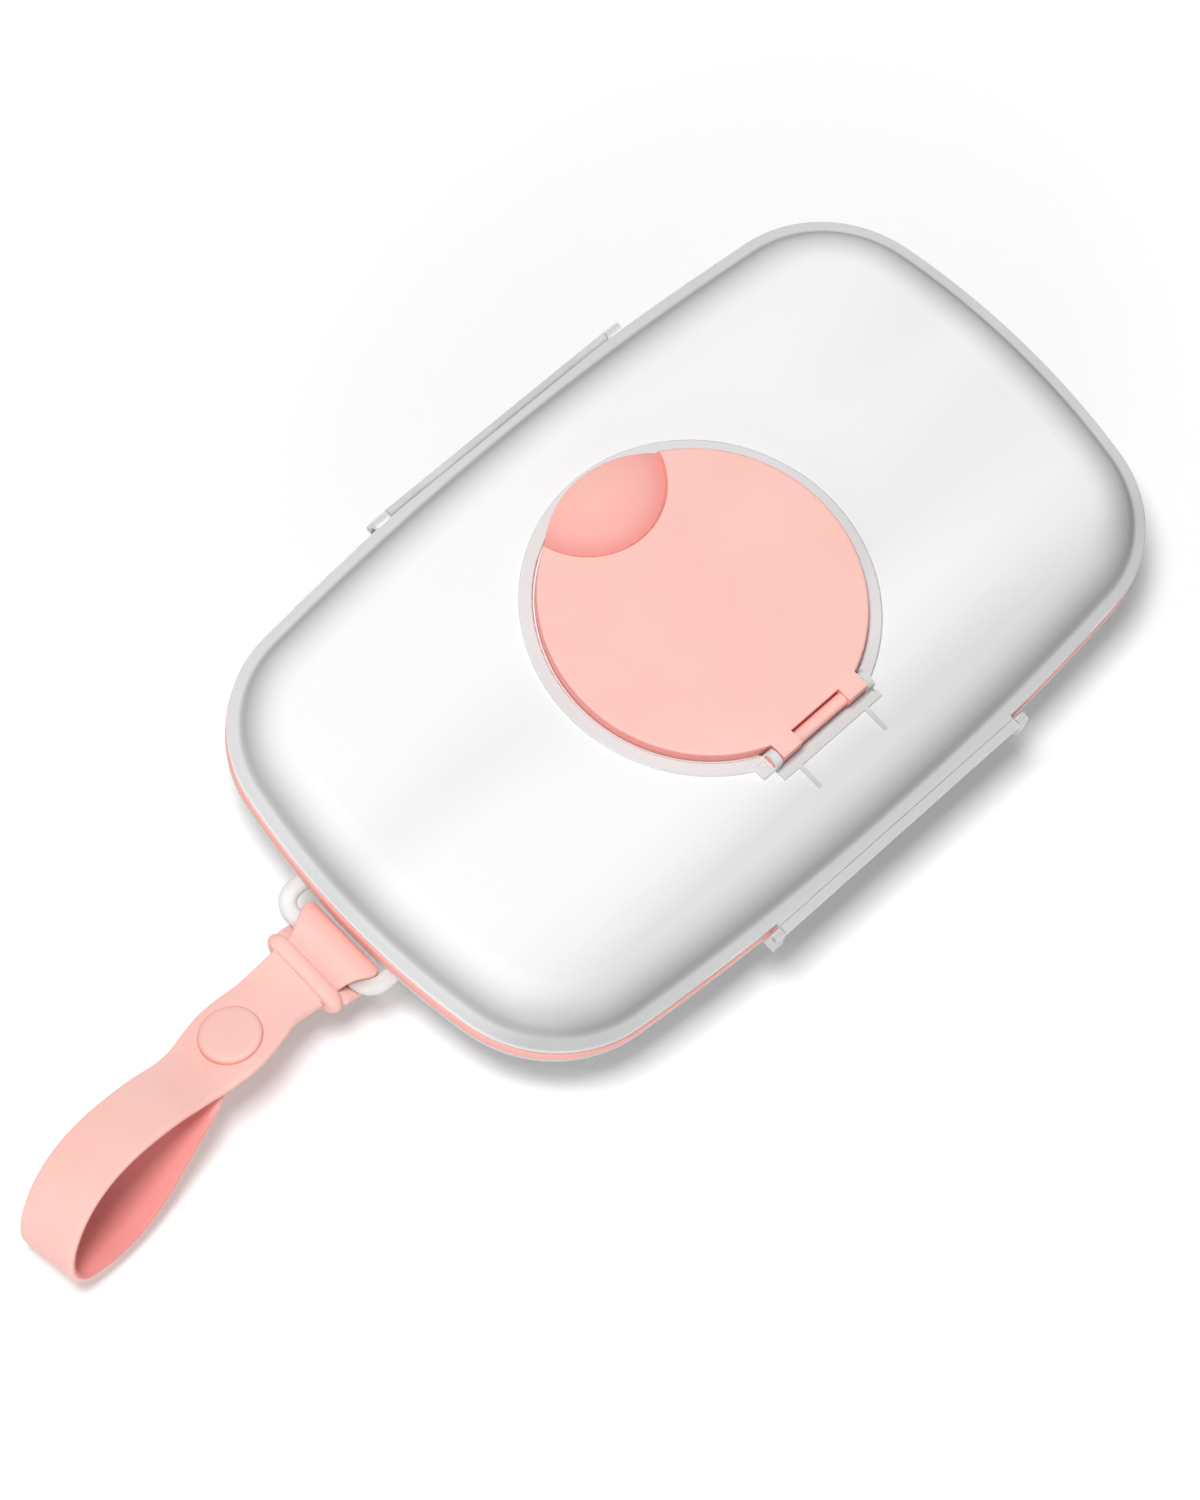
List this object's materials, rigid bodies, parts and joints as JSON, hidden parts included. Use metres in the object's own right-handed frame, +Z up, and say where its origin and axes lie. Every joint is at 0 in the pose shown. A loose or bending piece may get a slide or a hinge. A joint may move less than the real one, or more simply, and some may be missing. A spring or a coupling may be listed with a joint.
{
  "type": "wet wipe dispenser",
  "caption": "Portable wet wipe case with a clear hinged shell, a round flip lid over the dispensing slot and a looped wrist strap.",
  "frame": {"origin": "middle of the flat bottom of the tray, on the surface that the case rests on", "axes": "+Z up, +X towards the strap end, -Y towards the latch, +Y towards the case hinge"},
  "size_m": [0.2889, 0.1242, 0.0378],
  "materials": {
    "clear_shell": "clear, smooth",
    "pink_plastic": "satin",
    "pink_silicone": "matte",
    "white_silicone": "matte",
    "steel_pin": "drawn wire"
  },
  "bodies": {
    "base": {"base_tray": "clear_shell", "rim_gasket": "pink_silicone", "case_hinge_pin": "steel_pin"},
    "cover": {"cover": "clear_shell", "lid_hinge_pin": "pink_plastic", "latch_pin": "steel_pin", "dispensing_membrane": "white_silicone", "membrane_ring": "clear_shell"},
    "lid": {"lid": "pink_plastic", "thumb_pad": "pink_plastic", "lid_seal": "pink_silicone"},
    "latch": {"latch_flap": "clear_shell"},
    "strap": {"strap": "pink_silicone", "strap_keeper": "pink_silicone", "snap_cap": "pink_plastic", "snap_socket": "pink_plastic", "snap_stud": "pink_plastic"}
  },
  "joints": [
    {"name": "case_hinge", "type": "hinge", "parent": "base", "child": "cover", "pos_m": [0, 0.0611, 0.02545], "axis": [-1, 0, 0], "range_deg": [0, 170]},
    {"name": "lid_hinge", "type": "hinge", "parent": "cover", "child": "lid", "pos_m": [0, 0.0346, 0.0352], "axis": [-1, 0, 0], "range_deg": [0, 130]},
    {"name": "latch_turn", "type": "hinge", "parent": "cover", "child": "latch", "pos_m": [0, -0.0604, 0.0255], "axis": [-1, 0, 0], "range_deg": [0, 80]},
    {"name": "strap_swing", "type": "hinge", "parent": "base", "child": "strap", "pos_m": [0.1054, 0.0009, 0.0192], "axis": [0, -1, 0], "range_deg": [0, 100]}
  ]
}
